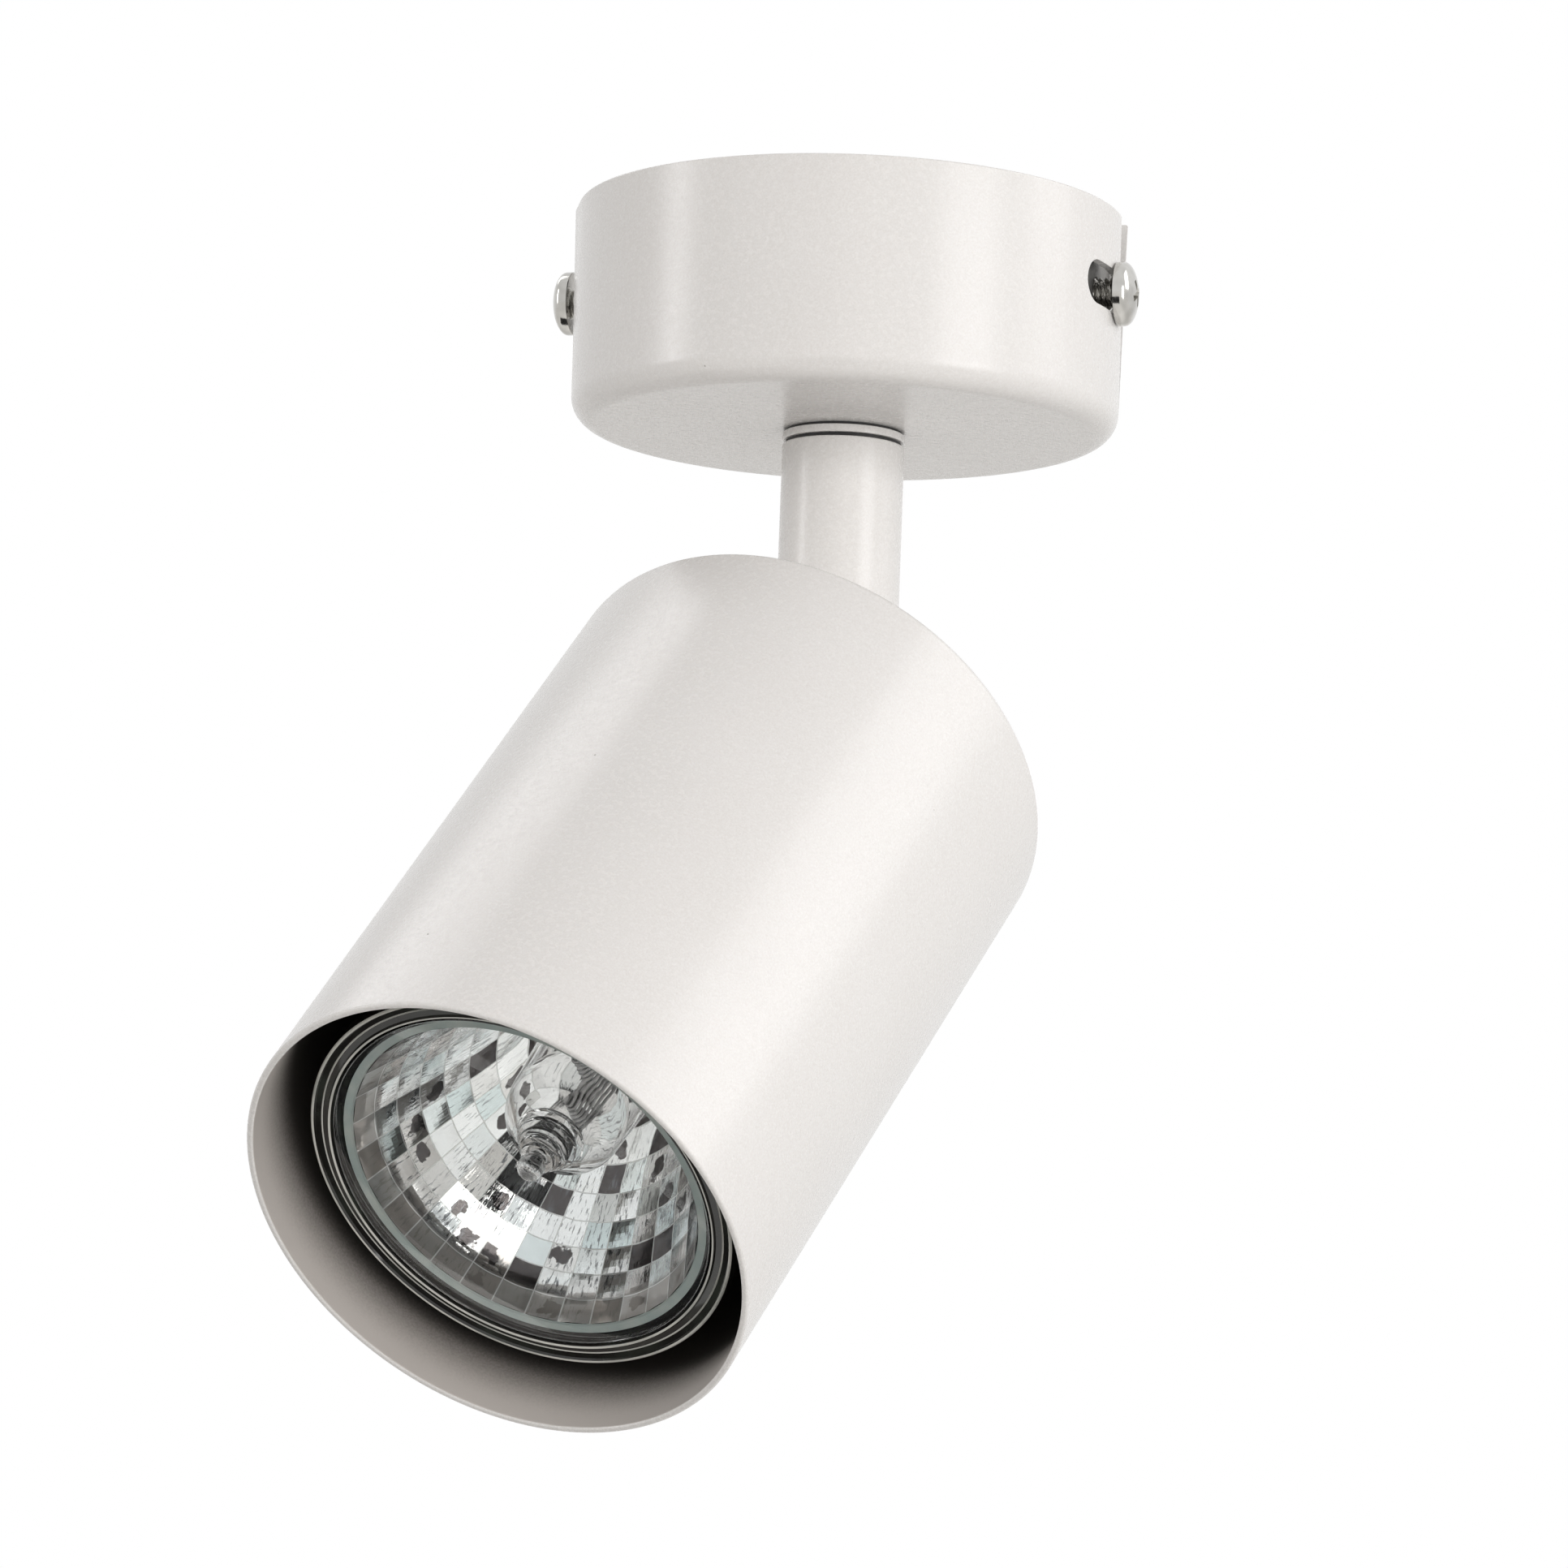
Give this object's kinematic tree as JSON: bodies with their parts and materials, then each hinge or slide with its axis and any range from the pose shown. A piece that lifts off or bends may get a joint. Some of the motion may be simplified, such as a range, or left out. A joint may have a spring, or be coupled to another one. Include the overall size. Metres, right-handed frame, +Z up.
{
  "type": "ceiling spotlight",
  "caption": "Surface ceiling spotlight: round canopy, short stem that turns, hidden tilting knuckle and a cylindrical can head holding a twist-lock reflector lamp.",
  "frame": {"origin": "middle of the two ceiling fixing slots, on the canopy's axis at the ceiling plane", "axes": "+Z up into the ceiling along the canopy's axis, +X along the strap through the side screws"},
  "size_m": [0.0841, 0.1195, 0.1479],
  "materials": {
    "white_paint": "satin powder coat",
    "nickel": "bright nickel plate",
    "zinc_steel": "zinc plated",
    "spring_steel": "blackened",
    "brass": "turned",
    "block_plastic": "moulded",
    "fibre": "pressed fibre",
    "gasket_rubber": "matte",
    "lead_live": "smooth insulation",
    "lead_neutral": "smooth insulation",
    "lead_earth": "smooth insulation",
    "ceramic": "unglazed ceramic",
    "mirror_glass": "faceted mirror coat inside a pressed glass bowl",
    "clear_glass": "clear",
    "quartz": "clear",
    "tungsten": "wound wire"
  },
  "bodies": {
    "canopy_assembly": {"ceiling_bracket": "zinc_steel", "canopy": "white_paint", "canopy_screws": "nickel", "collar": "white_paint", "terminal_block": "block_plastic", "terminal_clamps": "brass", "terminal_screws": "zinc_steel", "block_screw": "zinc_steel", "earth_screw": "brass", "bracket_earth_lead": "lead_earth", "canopy_live_lead": "lead_live", "canopy_neutral_lead": "lead_neutral", "canopy_earth_lead": "lead_earth"},
    "stem": {"gasket_ring": "gasket_rubber", "stem_tube": "white_paint", "stem_insert": "zinc_steel", "nipple": "zinc_steel", "thrust_washer": "zinc_steel", "spring_washer": "spring_steel", "locknut": "zinc_steel", "upper_knuckle": "white_paint", "friction_washer": "fibre", "pivot_screw": "nickel", "pivot_nut": "nickel", "stem_live_lead": "lead_live", "stem_neutral_lead": "lead_neutral", "stem_earth_lead": "lead_earth"},
    "head": {"lower_knuckle": "white_paint", "head_shell": "white_paint", "lamp_bracket": "zinc_steel", "shank_washer": "zinc_steel", "shank_nut": "zinc_steel", "holder_body": "ceramic", "holder_contacts": "brass", "holder_screws": "zinc_steel", "head_earth_screw": "brass", "head_live_lead": "lead_live", "head_neutral_lead": "lead_neutral", "head_earth_lead": "lead_earth"},
    "lamp": {"lamp_reflector": "mirror_glass", "lamp_front_glass": "clear_glass", "lamp_capsule": "quartz", "lamp_filament": "tungsten", "lamp_base": "ceramic", "lamp_pins": "nickel"}
  },
  "joints": [
    {"name": "pan", "type": "hinge", "parent": "canopy_assembly", "child": "stem", "pos_m": [0, 0, -0.0262], "axis": [0, 0, 1], "range_deg": [-175, 175]},
    {"name": "tilt", "type": "hinge", "parent": "stem", "child": "head", "pos_m": [0, 0, -0.0602], "axis": [-0.9573, 0.289, 0], "range_deg": [-45.8, 44.2]},
    {"name": "lamp_twist", "type": "hinge", "parent": "head", "child": "lamp", "pos_m": [-0.00725, -0.02402, -0.0846], "axis": [0.2072, 0.6863, 0.6972], "range_deg": [0, 25]}
  ]
}
